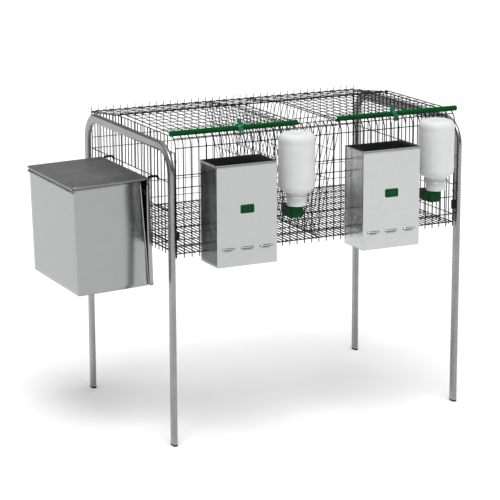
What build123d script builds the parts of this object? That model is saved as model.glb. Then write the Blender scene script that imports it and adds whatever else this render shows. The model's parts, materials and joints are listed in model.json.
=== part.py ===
from build123d import *
import math
import os

os.makedirs("parts", exist_ok=True)

# ---------------------------------------------------------------- dimensions
# All in mm. The model is laid out about the middle of the cage (X along the
# length, -Y the front, Z up from the floor) and shifted by SHIFT_X, SHIFT_Y
# when it is written, so that the origin is under the middle of the whole.
SHIFT_X = 126.773
SHIFT_Y = 58.5

# leg frames: flat-oval tube bent into an upside-down U
TUBE_Y = 30.0           # section in the plane of the U
TUBE_X = 15.0           # section along the cage
TUBE_WALL = 1.2
LEG_X = 490.0           # centre of each frame from the middle
LEG_Y = 325.0           # centre of each leg from the middle
LEG_TOP = 920.0         # top surface of the U
LEG_BEND = 75.0         # bend radius of the tube's centre line
PLUG_FOOT = 5.0         # thickness of the foot plug under the tube

# wire mesh
W = 2.4                 # wire
PITCH = 25.0
HALF_X = 475.0          # end walls
HALF_Y = 325.0          # front and back walls
Z_TIP = 578.0           # lower tips of the upright wires
Z_FLOOR = 591.0
FRONT_ROWS = [591.0, 616.0, 671.0, 789.0, 826.0, 907.0]
BACK_ROWS = [591.0, 616.0, 671.0, 798.0, 833.0, 916.0]
BACK_TIP = 930.0        # upper tips of the back uprights
END_ROWS = [591.0, 616.0, 711.0, 797.0, 892.0, 937.8]
BEND_R = 36.0           # the front uprights bend back over the front edge
CATCH_Z = 934.0         # long wire that the latches catch
HINGE_Y = 95.0          # hinge wire of the lids, across the roof
HINGE_Z = 941.0
HINGE_R = 2.0
SLOPE_Y = (104.0, 322.6)   # behind it the roof falls to the back wall
SLOPE_Z = (940.4, 916.0)
RACK_X = (1.6, 80.0)   # V-shaped hay rack: half width at the floor and at the top
RACK_Z = (593.7, 937.8)

# roof lids
LID_Z = 946.0
LID_L = (-470.0, -62.0)
LID_R = (70.0, 470.0)
LID_FRONT = -311.0
LID_BACK = 94.0
BAR_Y = -313.0
BAR_Z = 950.0
BAR_R = 7.0
BAR_L = (-488.0, -69.0)
BAR_RT = (69.0, 487.0)
LATCH_X = 262.5

# nest box (own frame: x = 0 at the inner panel, z = 0 at the lid's underside)
NB_L = 242.0
NB_W = 374.0
NB_H = 328.0
NB_TILT = 1.5           # it hangs a little out of plumb
NB_X = -503.0
NB_Y = -12.4
NB_Z = 797.5
SHEET = 1.0
PIN_R = 1.2             # hinge rod of its lid

# feed hoppers
FD_W = 195.0
FD_X = (-305.0, 178.5)  # middles
FD_FRONT = -454.0
FD_BACK = -338.0
FD_Z0 = 568.0
FD_Z1 = 871.0
TR_W = 140.0            # trough that reaches through the wall
TR_BACK = -282.0

# water bottles
BT_X = (-107.0, 375.0)
BT_Y = -383.0
BT_R = 56.0
BT_TOP = 934.0          # shoulder of the bottles' upper end
HEAD_X = (-110.0, 368.5)   # middles of the drinker heads
PIN_X = (-107.0, 370.0)    # drinker pins
HEAD_Z0 = 678.0         # underside of the drinker heads
HEAD_Z1 = 710.0
PIN_Z = 687.0
MOUTH_Z = 695.0         # lower end of the bottle's mouth


# ---------------------------------------------------------------- helpers
def box(x0, x1, y0, y1, z0, z1):
    return Solid.make_box(x1 - x0, y1 - y0, z1 - z0, Plane((x0, y0, z0)))


def rod(p, axis, r, h):
    return Solid.make_cylinder(r, h, Plane(origin=p, z_dir=axis))


def prism(pts, vec):
    """Closed polygon of 3-D points, pushed along a vector."""
    return Solid.extrude(Face(Wire.make_polygon(pts, close=True)), Vector(*vec))


def turned(pts, cx, cy):
    """Closed (r, z) polygon turned about a vertical axis."""
    w = Wire.make_polygon([(cx + r, cy, z) for r, z in pts], close=True)
    return Solid.revolve(Face(w), 360, Axis((cx, cy, 0), (0, 0, 1)))


def steps(a, b, n):
    return [a + (b - a) * i / n for i in range(n + 1)]


def lattice(at, us, vs, vec, wide=(), tip_lo=None, tip_hi=None, notch=None):
    """Welded mesh panel as one solid. at(u, v) gives the 3-D point, us and vs
    are the wire centres, wide lists openings as (i0, i1, j0, j1) wire numbers,
    tip_lo and tip_hi let the u-wires run on past the border, notch = (i, j)
    takes the corner below wire i and above wire j away."""
    h = W / 2
    lo, hi = vs[0] - h, vs[-1] + h
    pts = []
    if tip_lo is None:
        pts += [(us[0] - h, lo), (us[-1] + h, lo)]
    else:
        for k, u in enumerate(us):
            if k:
                pts.append((u - h, lo))
            pts += [(u - h, tip_lo), (u + h, tip_lo)]
            if k < len(us) - 1:
                pts.append((u + h, lo))
    if tip_hi is None:
        pts.append((us[-1] + h, hi))
        if notch is None:
            pts.append((us[0] - h, hi))
        else:
            ni, nj = notch
            pts += [(us[ni] - h, hi), (us[ni] - h, vs[nj] + h), (us[0] - h, vs[nj] + h)]
    else:
        for k in range(len(us) - 1, -1, -1):
            u = us[k]
            if k < len(us) - 1:
                pts.append((u + h, hi))
            pts += [(u + h, tip_hi), (u - h, tip_hi)]
            if k:
                pts.append((u - h, hi))
    cells = []
    for i in range(len(us) - 1):
        for j in range(len(vs) - 1):
            if notch is not None and i < notch[0] and j >= notch[1]:
                continue
            if any(a <= i < b and c <= j < d for a, b, c, d in wide):
                continue
            cells.append((i, i + 1, j, j + 1))
    cells += list(wide)
    holes = []
    for a, b, c, d in cells:
        u0, u1, v0, v1 = us[a] + h, us[b] - h, vs[c] + h, vs[d] - h
        holes.append(Wire.make_polygon([at(u0, v0), at(u1, v0), at(u1, v1), at(u0, v1)], close=True))
    face = Face(Wire.make_polygon([at(u, v) for u, v in pts], close=True), holes)
    return Solid.extrude(face, Vector(*vec))


NODES = {}


def node(name, *solids):
    NODES[name] = list(solids)


# ---------------------------------------------------------------- leg frames
def leg_frame(x):
    z0, zc, r = PLUG_FOOT, LEG_TOP - TUBE_Y / 2, LEG_BEND
    c = math.cos(math.pi / 4)
    path = Wire([
        Edge.make_line((x, -LEG_Y, z0), (x, -LEG_Y, zc - r)),
        Edge.make_three_point_arc((x, -LEG_Y, zc - r), (x, -LEG_Y + r - r * c, zc - r + r * c), (x, -LEG_Y + r, zc)),
        Edge.make_line((x, -LEG_Y + r, zc), (x, LEG_Y - r, zc)),
        Edge.make_three_point_arc((x, LEG_Y - r, zc), (x, LEG_Y - r + r * c, zc - r + r * c), (x, LEG_Y, zc - r)),
        Edge.make_line((x, LEG_Y, zc - r), (x, LEG_Y, z0)),
    ])
    pl = Plane(origin=(x, -LEG_Y, z0), x_dir=(0, 1, 0), z_dir=(0, 0, 1))
    outer = pl * SlotOverall(TUBE_Y, TUBE_X)
    inner = pl * SlotOverall(TUBE_Y - 2 * TUBE_WALL, TUBE_X - 2 * TUBE_WALL)
    a = Solid.sweep(outer.face(), path)
    b = Solid.sweep(inner.face(), path)
    return a - b


CLIP_Z = (646.0,)
frames = {}
for side, name in ((-1, "leg_frame_left"), (1, "leg_frame_right")):
    t = leg_frame(side * LEG_X)
    for sy in (-1, 1):
        for z in CLIP_Z:
            xin = side * (LEG_X - TUBE_X / 2)
            t = t - rod((xin - side * 1.0, sy * 322.0, z), (side, 0, 0), 3.1, 5.0)
    node(name, t.solid())

plugs = []
for sx in (-1, 1):
    for sy in (-1, 1):
        pl = Plane(origin=(sx * LEG_X, sy * LEG_Y, 0), x_dir=(0, 1, 0), z_dir=(0, 0, 1))
        foot = Solid.extrude((pl * SlotOverall(TUBE_Y, TUBE_X)).face(), Vector(0, 0, PLUG_FOOT))
        core = Solid.extrude((pl * SlotOverall(TUBE_Y - 2 * TUBE_WALL - 0.3, TUBE_X - 2 * TUBE_WALL - 0.3)).face(), Vector(0, 0, 26.0))
        plugs.append((foot + core).solid())
node("foot_plugs", *plugs)

# black snap-in clips that hold the cage's upright corners to the legs
clips = []
for sx in (-1, 1):
    for sy in (-1, 1):
        for z in CLIP_Z:
            def sbox(a0, a1, b0, b1, c0, c1):
                xs = sorted((sx * a0, sx * a1))
                ys = sorted((sy * b0, sy * b1))
                return box(xs[0], xs[1], ys[0], ys[1], c0, c1)
            c = sbox(476.5, 482.4, 312.0, 333.0, z - 12, z + 12)
            c = c + sbox(468.0, 482.4, 326.5, 333.0, z - 12, z + 12)
            c = c + rod((sx * 482.0, sy * 322.0, z), (sx, 0, 0), 3.0, 5.0)
            clips.append(c.solid())
node("corner_clips", *clips)

# ---------------------------------------------------------------- walls
XS = [-HALF_X + PITCH * i for i in range(39)]


def col(x):
    return round((x + HALF_X) / PITCH)


h = W / 2
# front wall: a sheet of wire bent back over the top edge, cut to a mesh
y0, R = -HALF_Y, BEND_R
yc, zc = y0 + R, FRONT_ROWS[-1]
c45 = math.cos(math.pi / 4)
prof = Wire([
    Edge.make_line((-HALF_X - h, y0 - h, Z_TIP), (-HALF_X - h, y0 - h, zc)),
    Edge.make_three_point_arc((-HALF_X - h, y0 - h, zc), (-HALF_X - h, yc - (R + h) * c45, zc + (R + h) * c45), (-HALF_X - h, yc, zc + R + h)),
    Edge.make_line((-HALF_X - h, yc, zc + R + h), (-HALF_X - h, yc, zc + R - h)),
    Edge.make_three_point_arc((-HALF_X - h, yc, zc + R - h), (-HALF_X - h, yc - (R - h) * c45, zc + (R - h) * c45), (-HALF_X - h, y0 + h, zc)),
    Edge.make_line((-HALF_X - h, y0 + h, zc), (-HALF_X - h, y0 + h, Z_TIP)),
    Edge.make_line((-HALF_X - h, y0 + h, Z_TIP), (-HALF_X - h, y0 - h, Z_TIP)),
])
front = Solid.extrude(Face(prof), Vector(2 * HALF_X + W, 0, 0))
rows = FRONT_ROWS
# openings: two for the hoppers' troughs, two for the drinker heads
FRONT_WIDE = [
    (col(-400), col(-200), 0, 3), (col(75), col(275), 0, 3),
    (col(-125), col(-75), 2, 3), (col(350), col(400), 2, 3),
]
cut = []
for i in range(38):
    xa, xb = XS[i] + h, XS[i + 1] - h
    cut.append(box(xa, xb, y0 - 5, y0 + 5, Z_TIP - 5, rows[0] - h))
    for j in range(len(rows) - 1):
        if not any(a <= i < b and c <= j < d for a, b, c, d in FRONT_WIDE):
            cut.append(box(xa, xb, y0 - 5, y0 + 5, rows[j] + h, rows[j + 1] - h))
    cut.append(box(xa, xb, y0 - 5, yc + 5, rows[-1] + h, CATCH_Z - h))
    # the bent ends keep a border wire
    cut.append(box(xa, xb, y0 - 5, yc - W, CATCH_Z + h, zc + R + 10))
for a, b, c, d in FRONT_WIDE:
    cut.append(box(XS[a] + h, XS[b] - h, y0 - 5, y0 + 5, rows[c] + h, rows[d] - h))
front = front.cut(*cut)
node("front_wall_mesh", *front.solids())

node("back_wall_mesh", lattice(lambda u, v: (u, HALF_Y - h, v), XS, BACK_ROWS, (0, W, 0),
                               tip_lo=Z_TIP, tip_hi=BACK_TIP))
YS = steps(-(HALF_Y - W), HALF_Y - W, 26)


def roof_z(y):
    return SLOPE_Z[0] + (SLOPE_Z[1] - SLOPE_Z[0]) * (y - SLOPE_Y[0]) / (SLOPE_Y[1] - SLOPE_Y[0])


def sloped_top(panel, at):
    """Cuts the top of a panel down to just under the falling part of the roof
    and gives it a border wire along the cut."""
    a, b, c = SLOPE_Y[0], HALF_Y - W + h, 2.6
    za, zb = roof_z(a) - c, roof_z(b) - c
    away = prism([(-500, a, za), (-500, b + 3, roof_z(b + 3) - c), (-500, b + 3, 960), (-500, a, 960)], (1000, 0, 0))
    edge = prism([at(u, v) for u, v in ((a - 2, za - h), (a, za - h), (b, zb - h), (b, zb + h), (a, za + h), (a - 2, za + h))], (W, 0, 0))
    return ((panel - away) + edge).solid()


def left_end(u, v):
    return (-HALF_X - h, u, v)


def right_end(u, v):
    return (HALF_X - h, u, v)


# the left end has the way into the nest box
node("left_end_mesh", sloped_top(lattice(left_end, YS, END_ROWS, (W, 0, 0), wide=[(10, 16, 1, 3)],
                                         tip_lo=Z_TIP, notch=(2, 4)), left_end))
node("right_end_mesh", sloped_top(lattice(right_end, YS, END_ROWS, (W, 0, 0), tip_lo=Z_TIP, notch=(2, 4)), right_end))
FX = steps(-(HALF_X - W), HALF_X - W, 64)
FY = steps(-(HALF_Y - W), HALF_Y - W, 8)
node("floor_mesh", lattice(lambda u, v: (u, v, Z_FLOOR - h), FX, FY, (0, 0, W)))


def rack_x(z):
    return RACK_X[0] + (RACK_X[1] - RACK_X[0]) * (z - RACK_Z[0]) / (RACK_Z[1] - RACK_Z[0])


def rack_left(u, v):
    return (-rack_x(v) - h, u, v)


def rack_right(u, v):
    return (rack_x(v) - h, u, v)


# the two sides of the hay rack part the cage; hay goes in between the lids
for name, at in (("left", rack_left), ("right", rack_right)):
    node("hay_rack_%s_mesh" % name, sloped_top(lattice(at, steps(-307.0, HALF_Y - W, 25), steps(RACK_Z[0], RACK_Z[1], 4), (W, 0, 0)), at))
# the fixed part of the roof behind the lids
node("roof_back_mesh", lattice(lambda u, v: (u, v, roof_z(v) - h), XS[::2], steps(SLOPE_Y[0], SLOPE_Y[1], 4), (0, 0, W)))
node("lid_hinge_wire", rod((-HALF_X - h, HINGE_Y, HINGE_Z), (1, 0, 0), HINGE_R, 2 * HALF_X + W))

# rings closed round the edge wires, tying the panels together
rings = []


def ring(p, axis):
    rings.append(Solid.make_torus(3.8, 0.9, Plane(origin=p, z_dir=axis)))


for sx in (-1, 1):
    for sy in (-1, 1):
        for z in (603.0, 690.0, 760.0, 868.0):
            ring((sx * HALF_X, sy * (HALF_Y - h), z), (0, 0, 1))


def clear_of(t, wires, gap):
    return all(abs(t - q) > gap for q in wires)


for sy in (-1, 1):
    n = 0
    for i in range(2, 36, 4):
        for f in (0.5, 0.35, 0.65, 0.25, 0.75):
            x = XS[i] + PITCH * f
            if clear_of(x, FX, 2.6) and clear_of(x, XS, 2.6):
                ring((x, sy * (HALF_Y - h), Z_FLOOR), (1, 0, 0))
                break
for i in range(2, 36, 4):
    ring((XS[i] + PITCH / 2, HALF_Y - h, BACK_ROWS[-1]), (1, 0, 0))
fall = (SLOPE_Z[1] - SLOPE_Z[0]) / (SLOPE_Y[1] - SLOPE_Y[0])
for sx in (-1, 1):
    for y in (136.5, 285.4):
        ring((sx * HALF_X, y, roof_z(y) - 1.3), (0, 1, fall))
node("panel_rings", *rings)

# ---------------------------------------------------------------- roof lids
for name, (x0, x1), (b0, b1), hx, lx in (
        ("left", LID_L, BAR_L, (-437.5, -337.5, -237.5, -137.5, -87.5), -LATCH_X),
        ("right", LID_R, BAR_RT, (87.5, 187.5, 287.5, 387.5, 437.5), LATCH_X)):
    node("lid_%s_mesh" % name, lattice(lambda u, v: (u, v, LID_Z - h), steps(x0, x1, 16),
                                       steps(LID_FRONT, LID_BACK, 8), (0, 0, W)))
    bar = rod((b0, BAR_Y, BAR_Z), (1, 0, 0), BAR_R, b1 - b0)
    bar = bar - box(b0 - 1, b1 + 1, BAR_Y - 2.0, BAR_Y + 10, LID_Z - h - 0.2, LID_Z + h + 0.2)
    node("lid_%s_bar" % name, bar.solid())
    loops = []
    for x in hx:
        lp = rod((x - 3, HINGE_Y, HINGE_Z), (1, 0, 0), HINGE_R + 2.5, 6) - rod((x - 4, HINGE_Y, HINGE_Z), (1, 0, 0), HINGE_R + 0.06, 8)
        lp = lp - box(x - 4, x + 4, HINGE_Y - 8, HINGE_Y + 8, LID_Z - h, LID_Z + 8)
        loops.append(lp.solid())
    node("lid_%s_hinge_loops" % name, *loops)
    # latch: open clip round the bar, thumb tab above, snap nose below that
    # presses on the catch wire from the front
    lt = rod((lx - 9, BAR_Y, BAR_Z), (1, 0, 0), BAR_R + 2.6, 18)
    lt = lt + box(lx - 9, lx + 9, -330.8, BAR_Y - 6.0, 940.5, 951.0)
    lt = lt - rod((lx - 10, BAR_Y, BAR_Z), (1, 0, 0), BAR_R + 0.08, 20)
    lt = lt - box(lx - 10, lx + 10, BAR_Y + 1.2, BAR_Y + 20, BAR_Z - 15, BAR_Z + 15)
    lt = lt + box(lx - 9, lx + 9, -330.8, -327.8, 929.0, 951.0)
    lt = lt + box(lx - 6, lx + 6, -328.0, -316.4, 929.0, 933.0)
    lt = lt + prism([(lx - 8, -317.0, 958.0), (lx - 8, -313.6, 958.6), (lx - 8, -310.0, 974.0), (lx - 8, -313.2, 974.0)], (16, 0, 0))
    node("latch_%s" % name, lt.solid())

# ---------------------------------------------------------------- nest box
NB = Location((NB_X, NB_Y, NB_Z), (0, -NB_TILT, 0))


def nb(s):
    return s.moved(NB)


yw = NB_W / 2
body = box(-NB_L, -SHEET, -yw, yw, -NB_H, -1.5) - box(-NB_L + SHEET, 5, -yw + SHEET, yw - SHEET, -NB_H + SHEET, 5)
node("nest_body", nb(body.solid()))

panel = box(-SHEET, 0, -yw - SHEET, yw + SHEET, -NB_H, -1.5)
for s in (-1, 1):
    fl = prism([(0, 0, -1.5), (-28, 0, -1.5), (-12, 0, -NB_H), (0, 0, -NB_H)], (0, SHEET, 0))
    panel = panel + fl.moved(Location((0, yw if s > 0 else -yw - SHEET, 0)))
# way in for the doe, in line with the opening in the end wall
hole = Solid.extrude((Plane(origin=(-20, 12.4, -97.0), x_dir=(0, 1, 0), z_dir=(1, 0, 0)) * RectangleRounded(140, 156, 30)).face(), Vector(40, 0, 0))
panel = panel - hole
node("nest_inner_panel", nb(panel.solid()))

hooks = []
for y in (-173.7, 173.7):
    hk = box(0, 2.0, y - 6, y + 6, -34, 0.4)
    hk = hk + box(0, 32.2, y - 6, y + 6, 0.4, 2.4)
    hk = hk + box(30.2, 32.2, y - 6, y + 6, -10.6, 2.4)
    hooks.append(nb(hk.solid()))
node("nest_hooks", *hooks)

# the lid turns on a rod close outside the outer wall, behind its own lip
HX, HZ = -NB_L - 3.5, -16.0
BODY_KN = (-150.0, 0.0, 150.0)
LID_KN = (-75.0, 75.0)
node("nest_hinge_rod", nb(rod((HX, -yw - 1, HZ), (0, 1, 0), PIN_R, NB_W + 14)))
kn = []
for y in BODY_KN:
    k = rod((HX, y - 9, HZ), (0, 1, 0), 2.4, 18) + box(HX, -NB_L, y - 9, y + 9, HZ - 1.5, HZ + 1.5)
    k = k - rod((HX, y - 10, HZ), (0, 1, 0), PIN_R + 0.02, 20)
    kn.append(nb(k.solid()))
node("nest_body_knuckles", *kn)
lid = box(HX - 2.6, -0.2, -yw - SHEET, yw + SHEET, 0, 1.2) + box(HX - 2.6, HX - 1.6, -yw - SHEET, yw + SHEET, HZ - 1.8, 1.0)
for y in BODY_KN:
    lid = lid - box(HX - 5, HX, y - 10.5, y + 10.5, HZ - 5, HZ + 3.2)
node("nest_lid", nb(lid.solid()))
kn = []
for y in LID_KN:
    k = rod((HX, y - 9, HZ), (0, 1, 0), 2.4, 18) - rod((HX, y - 10, HZ), (0, 1, 0), PIN_R + 0.06, 20)
    k = k - box(HX - 8, HX - 1.6, y - 10, y + 10, HZ - 8, HZ + 8)
    kn.append(nb(k.solid()))
node("nest_lid_knuckles", *kn)

# ---------------------------------------------------------------- feed hoppers
for name, cx, hk_x in (("left", FD_X[0], (-362.5, -237.5)), ("right", FD_X[1], (112.5, 237.5))):
    x0, x1 = cx - FD_W / 2, cx + FD_W / 2
    s = SHEET
    TAB_X = (cx - 62.0, cx, cx + 62.0)
    hop = box(x0, x1, FD_FRONT, FD_BACK, FD_Z0, FD_Z1) - box(x0 + s, x1 - s, FD_FRONT + s, FD_BACK + 5, FD_Z0 + s, FD_Z1 + 5)
    hop = hop + box(x0, x1, FD_BACK - s, FD_BACK, FD_Z0, 600.5)
    for tx in TAB_X:
        hop = hop - box(tx - 20.2, tx + 20.2, FD_FRONT - 2, FD_FRONT + 2, 619.8, 624.2)
    for px in (cx - 12, cx + 12):
        hop = hop - rod((px, FD_FRONT - 2, 737.0), (0, 1, 0), 3.1, 4)
    node("feeder_%s_hopper" % name, hop.solid())
    node("feeder_%s_back" % name, box(x0 + s, x1 - s, FD_BACK - s, FD_BACK, 668.0, FD_Z1))
    # sloping plate inside, hung from three tabs bent through the front
    fy = FD_FRONT + s
    pl = prism([(x0 + s + 0.3, fy + 0.05, 618.0), (x0 + s + 0.3, fy + 0.05, 661.0), (x0 + s + 0.3, fy + 1.1, 661.0),
                (x0 + s + 0.3, FD_BACK - 1.2, 602.0), (x0 + s + 0.3, FD_BACK - 1.2, 600.8), (x0 + s + 0.3, fy + 1.1, 659.6),
                (x0 + s + 0.3, fy + 1.1, 618.0)], (FD_W - 2 * s - 0.6, 0, 0))
    for tx in TAB_X:
        pl = pl + box(tx - 20.0, tx + 20.0, FD_FRONT - 1.2, fy + 0.5, 620.0, 624.0)
    node("feeder_%s_slope" % name, pl.solid())
    # trough through the wall, into the cage
    t0, t1 = cx - TR_W / 2, cx + TR_W / 2
    tr = box(t0, t1, FD_BACK - 1.0, TR_BACK, 601.0, 662.0) - box(t0 + s, t1 - s, FD_BACK - 5, TR_BACK - s, 602.0, 670.0)
    tr = tr - box(t0 - 1, t1 + 1, -300.0, -250.0, 648.0, 670.0)
    for a, b in ((x0, t0 + s), (t1 - s, x1)):
        tr = tr + box(a, b, FD_BACK, FD_BACK + s, 601.0, 662.0)
    tr = tr - box(t0 - 0.1, t0 + s, FD_BACK - 2, FD_BACK, 590, 670) - box(t1 - s, t1 + 0.1, FD_BACK - 2, FD_BACK, 590, 670)
    node("feeder_%s_trough" % name, tr.solid())
    hks = []
    for x in hk_x:
        k = box(x - 5, x + 5, FD_BACK, FD_BACK + 1.5, 795.0, 827.6)
        k = k + box(x - 5, x + 5, FD_BACK, -321.4, 827.6, 829.2)
        k = k + box(x - 5, x + 5, -323.0, -321.4, 817.0, 829.2)
        hks.append(k.solid())
    node("feeder_%s_hooks" % name, *hks)
    gp = box(cx - 21.5, cx + 21.5, FD_FRONT - 3.0, FD_FRONT, 724.5, 749.5)
    gp = fillet(gp.edges().filter_by(Axis.Y), 3.0)
    for px in (cx - 12, cx + 12):
        gp = gp + rod((px, FD_FRONT - 0.5, 737.0), (0, 1, 0), 3.0, 3.5)
    node("feeder_%s_plate" % name, gp.solid())

# ---------------------------------------------------------------- water bottles
for name, bx, hx, px in (("left", BT_X[0], HEAD_X[0], PIN_X[0]), ("right", BT_X[1], HEAD_X[1], PIN_X[1])):
    arc_o = [(BT_R - 18 + 18 * math.sin(a), BT_TOP - 18 + 18 * math.cos(a)) for a in [math.radians(q) for q in (90, 72, 54, 36, 18, 0)]]
    out = [(0, MOUTH_Z), (8.5, MOUTH_Z), (8.5, 714.0), (30.5, 714.0), (30.5, 741.0), (BT_R, 772.0)] + arc_o + [(0, BT_TOP + 1.5)]
    t = 1.5
    arc_i = [(BT_R - 18 + (18 - t) * math.sin(a), BT_TOP - 18 + (18 - t) * math.cos(a)) for a in [math.radians(q) for q in (90, 72, 54, 36, 18, 0)]]
    inn = [(0, MOUTH_Z - 5), (6.7, MOUTH_Z - 5), (6.7, 715.5), (29.0, 715.5), (29.0, 741.8), (BT_R - t, 773.0)] + arc_i + [(0, BT_TOP)]
    bottle = turned(out, bx, BT_Y) - turned(inn, bx, BT_Y)
    node("bottle_%s" % name, bottle.solid())
    # drinker head: a block under the neck with a narrower spigot through the wall
    head = box(hx - 20.5, hx + 20.5, -398.0, -331.0, HEAD_Z0, HEAD_Z1)
    head = fillet([e for e in head.edges().filter_by(Axis.Z) if e.center().Y < -390], 8.0)
    head = fillet([e for e in head.edges() if e.center().Z < HEAD_Z0 + 0.5 and e.center().Y < -332], 4.0)
    head = head + box(px - 13, px + 13, -331.0, -306.0, HEAD_Z0, HEAD_Z1 - 4)
    head = head - rod((bx, BT_Y, MOUTH_Z - 2), (0, 0, 1), 10.7, 30.0)
    head = head - rod((bx, BT_Y, PIN_Z - 2), (0, 0, 1), 5.0, 12.0)
    head = head - rod((px, -330.0, PIN_Z), (0, 1, 0), 2.56, 40.0)
    # a feed bore from the socket to the nipple
    head = head - rod((px, BT_Y, PIN_Z), (0, 1, 0), 1.5, 60.0)
    node("drinker_%s_head" % name, head.solid())
    node("drinker_%s_seal" % name, (rod((bx, BT_Y, MOUTH_Z + 2), (0, 0, 1), 10.5, 7.0) - rod((bx, BT_Y, MOUTH_Z + 1), (0, 0, 1), 8.8, 10.0)).solid())
    node("drinker_%s_pin" % name, rod((px, -326.0, PIN_Z), (0, 1, 0), 2.5, 34.0))
    # wire holder round the foot of the bottle, hooked through the wall
    r, z = 38.0, 744.0
    c = math.cos(math.pi / 4)
    b = 5.0
    path = Wire([
        Edge.make_line((bx - r, -319.0, z - 14.0), (bx - r, -319.0, z - b)),
        Edge.make_three_point_arc((bx - r, -319.0, z - b), (bx - r, -319.0 - b + b * c, z - b + b * c), (bx - r, -319.0 - b, z)),
        Edge.make_line((bx - r, -319.0 - b, z), (bx - r, BT_Y, z)),
        Edge.make_three_point_arc((bx - r, BT_Y, z), (bx, BT_Y - r, z), (bx + r, BT_Y, z)),
        Edge.make_line((bx + r, BT_Y, z), (bx + r, -319.0 - b, z)),
        Edge.make_three_point_arc((bx + r, -319.0 - b, z), (bx + r, -319.0 - b + b * c, z - b + b * c), (bx + r, -319.0, z - b)),
        Edge.make_line((bx + r, -319.0, z - b), (bx + r, -319.0, z - 14.0)),
    ])
    sec = (Plane(origin=(bx - r, -319.0, z - 14.0), z_dir=(0, 0, 1)) * Circle(1.5)).face()
    node("bottle_%s_holder" % name, Solid.sweep(sec, path))

# ---------------------------------------------------------------- write
shift = Location((SHIFT_X, SHIFT_Y, 0))
lo = [1e9] * 3
hi = [-1e9] * 3
for name, solids in NODES.items():
    moved = [s.moved(shift) for s in solids]
    shape = moved[0] if len(moved) == 1 else Compound(children=moved)
    shape.label = name
    export_step(shape, "parts/%s.step" % name)
    bb = shape.bounding_box()
    for k, (a, b) in enumerate(((bb.min.X, bb.max.X), (bb.min.Y, bb.max.Y), (bb.min.Z, bb.max.Z))):
        lo[k] = min(lo[k], a)
        hi[k] = max(hi[k], b)
print("nodes", len(NODES))
print("low", [round(q, 3) for q in lo], "high", [round(q, 3) for q in hi])
print("middle", [round((a + b) / 2, 3) for a, b in zip(lo, hi)])
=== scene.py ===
import json
import math
import random

import bmesh
import bpy
from mathutils import Matrix, Vector


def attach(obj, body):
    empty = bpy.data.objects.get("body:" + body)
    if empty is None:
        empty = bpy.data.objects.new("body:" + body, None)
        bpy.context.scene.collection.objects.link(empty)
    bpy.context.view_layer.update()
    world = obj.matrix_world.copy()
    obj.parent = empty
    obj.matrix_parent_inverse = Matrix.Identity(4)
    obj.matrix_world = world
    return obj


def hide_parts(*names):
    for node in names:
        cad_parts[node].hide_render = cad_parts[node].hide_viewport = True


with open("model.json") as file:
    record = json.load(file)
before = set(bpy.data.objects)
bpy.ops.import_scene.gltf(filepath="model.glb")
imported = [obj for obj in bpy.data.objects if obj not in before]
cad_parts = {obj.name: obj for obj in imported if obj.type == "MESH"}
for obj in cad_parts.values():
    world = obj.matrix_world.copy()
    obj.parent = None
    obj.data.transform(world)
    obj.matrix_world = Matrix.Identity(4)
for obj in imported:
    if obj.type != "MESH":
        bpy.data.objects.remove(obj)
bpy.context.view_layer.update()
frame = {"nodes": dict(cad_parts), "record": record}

NODES = frame["nodes"]
rng = random.Random(11)

# ------------------------------------------------------------------ places
# The cage is laid out in mm about its own middle and shifted into the frame.
SX, SY = 126.773, 58.5


def mm(x, y, z):
    return Vector(((x + SX) / 1000.0, (y + SY) / 1000.0, z / 1000.0))


def steps(a, b, n):
    return [a + (b - a) * i / n for i in range(n + 1)]


HALF_X, HALF_Y = 475.0, 325.0
Z_TIP = 578.0
FRONT_ROWS = [591.0, 616.0, 671.0, 789.0, 826.0, 907.0]
BACK_ROWS = [591.0, 616.0, 671.0, 798.0, 833.0, 916.0]
END_ROWS = [591.0, 616.0, 711.0, 797.0, 892.0, 937.8]
XS = [-HALF_X + 25.0 * i for i in range(39)]
YS = steps(-322.6, 322.6, 26)
HINGE_Y, HINGE_Z = 95.0, 941.0
FALL_Y, FALL_Z = (104.0, 322.6), (940.4, 916.0)


def roof_z(y):
    """Middle of the roof behind the hinge wire, where it falls to the back."""
    return FALL_Z[0] + (FALL_Z[1] - FALL_Z[0]) * (y - FALL_Y[0]) / (FALL_Y[1] - FALL_Y[0])


NB_L, NB_W, NB_H, NB_T = 242.0, 374.0, 328.0, math.radians(-1.5)
HX, HZ = -NB_L - 3.5, -16.0


def nb(x, y, z):
    """Nest-box point (own frame, mm) in the shared frame."""
    return mm(-503.0 + x * math.cos(NB_T) + z * math.sin(NB_T), -12.4 + y,
              797.5 - x * math.sin(NB_T) + z * math.cos(NB_T))


# ------------------------------------------------------------------ materials
def tree(name):
    m = bpy.data.materials.new(name)
    m.use_nodes = True
    nt = m.node_tree
    nt.nodes.clear()
    out = nt.nodes.new("ShaderNodeOutputMaterial")
    sh = nt.nodes.new("ShaderNodeBsdfPrincipled")
    nt.links.new(sh.outputs["BSDF"], out.inputs["Surface"])
    co = nt.nodes.new("ShaderNodeTexCoord")
    return m, nt, sh, co.outputs["Object"]


def noise(nt, vec, scale, detail=3.0, rough=0.55, stretch=None):
    if stretch:
        mp = nt.nodes.new("ShaderNodeMapping")
        mp.inputs["Scale"].default_value = stretch
        nt.links.new(vec, mp.inputs["Vector"])
        vec = mp.outputs["Vector"]
    n = nt.nodes.new("ShaderNodeTexNoise")
    n.inputs["Scale"].default_value = scale
    n.inputs["Detail"].default_value = detail
    n.inputs["Roughness"].default_value = rough
    nt.links.new(vec, n.inputs["Vector"])
    return n.outputs["Fac"]


def ramp(nt, fac, stops):
    r = nt.nodes.new("ShaderNodeValToRGB")
    el = r.color_ramp.elements
    while len(el) < len(stops):
        el.new(0.5)
    for e, (p, c) in zip(el, stops):
        e.position = p
        e.color = (c[0], c[1], c[2], 1.0)
    nt.links.new(fac, r.inputs["Fac"])
    return r.outputs["Color"]


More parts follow.
